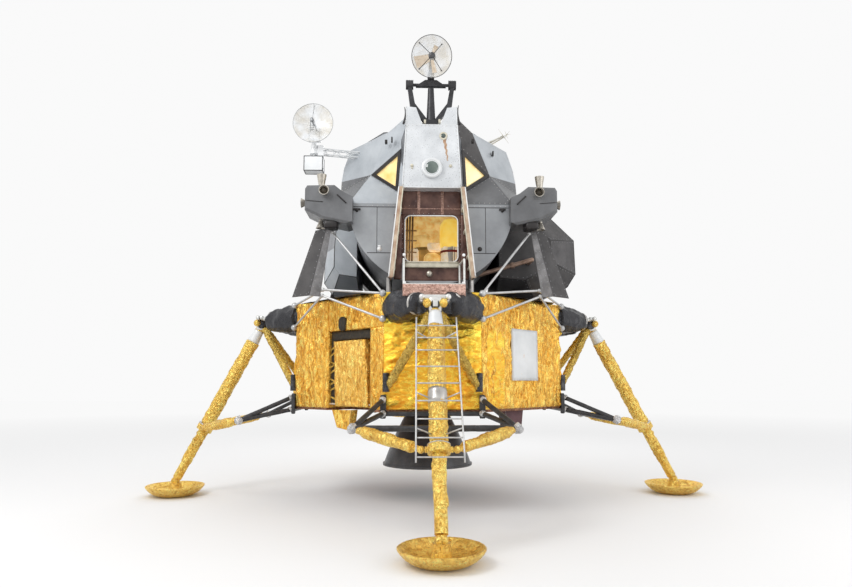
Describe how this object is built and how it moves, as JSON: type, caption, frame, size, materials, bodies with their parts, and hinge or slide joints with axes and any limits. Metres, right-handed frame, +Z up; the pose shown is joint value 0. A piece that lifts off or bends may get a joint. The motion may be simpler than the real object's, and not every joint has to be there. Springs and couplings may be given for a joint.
{
  "type": "lunar lander",
  "caption": "Two-stage crewed lunar lander with foil-wrapped octagonal descent stage, legs with dished pads, ladder, faceted crew cabin, steerable antennas and thrusters.",
  "frame": {"origin": "on the ground under the vertical centre line, at the middle of the four footpads", "axes": "+Z up; -Y is the front, with the ladder and the forward hatch; +X is to the right of someone who faces the front"},
  "size_m": [9.4238, 9.4238, 7.0774],
  "materials": {
    "gold_foil": "crinkled amber metallised film",
    "dark_shield": "dark foil",
    "nozzle_dark": "dark coated skirt",
    "titanium": "satin",
    "black_tube": "black tape wrap",
    "black_blanket": "crinkled black film",
    "bare_aluminium": "satin",
    "grey_skin": "satin",
    "charcoal_skin": "satin",
    "black_frame": "satin",
    "window_glass": "clear",
    "white_paint": "satin",
    "tan_rail": "worn",
    "interior_grey": "satin",
    "thruster_metal": "satin",
    "black_paint": "satin",
    "bronze_tube": "satin",
    "dish_white": "thin translucent mesh"
  },
  "bodies": {
    "lander": {"aft_equipment_bay": "charcoal_skin", "ascent_engine_cover": "interior_grey", "base_heat_shield": "dark_shield", "cabin_floor": "interior_grey", "crew_compartment": "grey_skin", "deflector_struts": "bare_aluminium", "deployment_trusses": "black_tube", "descent_stage_body": "gold_foil", "docking_tunnel": "bare_aluminium", "egress_platform": "bare_aluminium", "engine_mount": "titanium", "footpads": "gold_foil", "forward_hatch_hinges": "titanium", "front_panel": "white_paint", "instrument_panel": "interior_grey", "interstage_fittings": "titanium", "ladder": "bare_aluminium", "midsection": "grey_skin", "outriggers": "black_blanket", "overhead_hatch_hinge": "titanium", "oxygen_pack": "white_paint", "pallet_hinge_rod": "titanium", "plume_deflectors": "charcoal_skin", "primary_struts": "gold_foil", "radar_mount": "black_paint", "rcs_housings": "charcoal_skin", "rcs_thrusters": "thruster_metal", "recess_frame": "tan_rail", "sband_boom": "white_paint", "secondary_struts": "black_tube", "side_consoles": "interior_grey", "side_tube": "bronze_tube", "tank_housing_left": "grey_skin", "tank_housing_right": "charcoal_skin", "tracking_light": "white_paint", "vhf_antenna": "bare_aluminium", "window_frames": "black_frame", "window_glass": "window_glass"},
    "forward_hatch": {"forward_hatch": "white_paint"},
    "overhead_hatch": {"overhead_hatch": "white_paint"},
    "equipment_pallet": {"equipment_pallet": "gold_foil"},
    "engine_gimbal_ring": {"engine_gimbal_ring": "titanium"},
    "descent_engine": {"descent_engine": "nozzle_dark"},
    "radar_yoke": {"radar_yoke": "black_paint"},
    "radar_dish": {"radar_dish": "dish_white"},
    "sband_gimbal": {"sband_gimbal": "white_paint"},
    "sband_dish": {"sband_dish": "dish_white"}
  },
  "joints": [
    {"name": "forward_hatch_hinge", "type": "hinge", "parent": "lander", "child": "forward_hatch", "pos_m": [-0.451, -1.6545, 4.015], "axis": [0, 0, 1], "range_deg": [-90, 0]},
    {"name": "overhead_hatch_hinge", "type": "hinge", "parent": "lander", "child": "overhead_hatch", "pos_m": [0, 0.4764, 6.017], "axis": [1, 0, 0], "range_deg": [0, 88]},
    {"name": "equipment_pallet_hinge", "type": "hinge", "parent": "lander", "child": "equipment_pallet", "pos_m": [-1.17351, -1.60485, 1.56], "axis": [0.7071, -0.7071, 0], "range_deg": [0, 100]},
    {"name": "gimbal_ring_pitch", "type": "hinge", "parent": "lander", "child": "engine_gimbal_ring", "pos_m": [0, 0, 1.93], "axis": [1, 0, 0], "range_deg": [-6, 6]},
    {"name": "engine_roll", "type": "hinge", "parent": "engine_gimbal_ring", "child": "descent_engine", "pos_m": [0, 0, 1.93], "axis": [0, 1, 0], "range_deg": [-6, 6]},
    {"name": "radar_shaft", "type": "hinge", "parent": "lander", "child": "radar_yoke", "pos_m": [0, -1.6, 6.5], "axis": [1, 0, 0], "range_deg": [-60, 20]},
    {"name": "radar_trunnion", "type": "hinge", "parent": "radar_yoke", "child": "radar_dish", "pos_m": [0, -1.6, 6.6], "axis": [0, 0, 1], "range_deg": [-40, 40]},
    {"name": "sband_azimuth", "type": "hinge", "parent": "lander", "child": "sband_gimbal", "pos_m": [-1.895, -0.9, 5.66], "axis": [0, 0, 1], "range_deg": [-85, 85]},
    {"name": "sband_elevation", "type": "hinge", "parent": "sband_gimbal", "child": "sband_dish", "pos_m": [-1.895, -0.9, 6.01], "axis": [1, 0, 0], "range_deg": [-85, 0]}
  ]
}
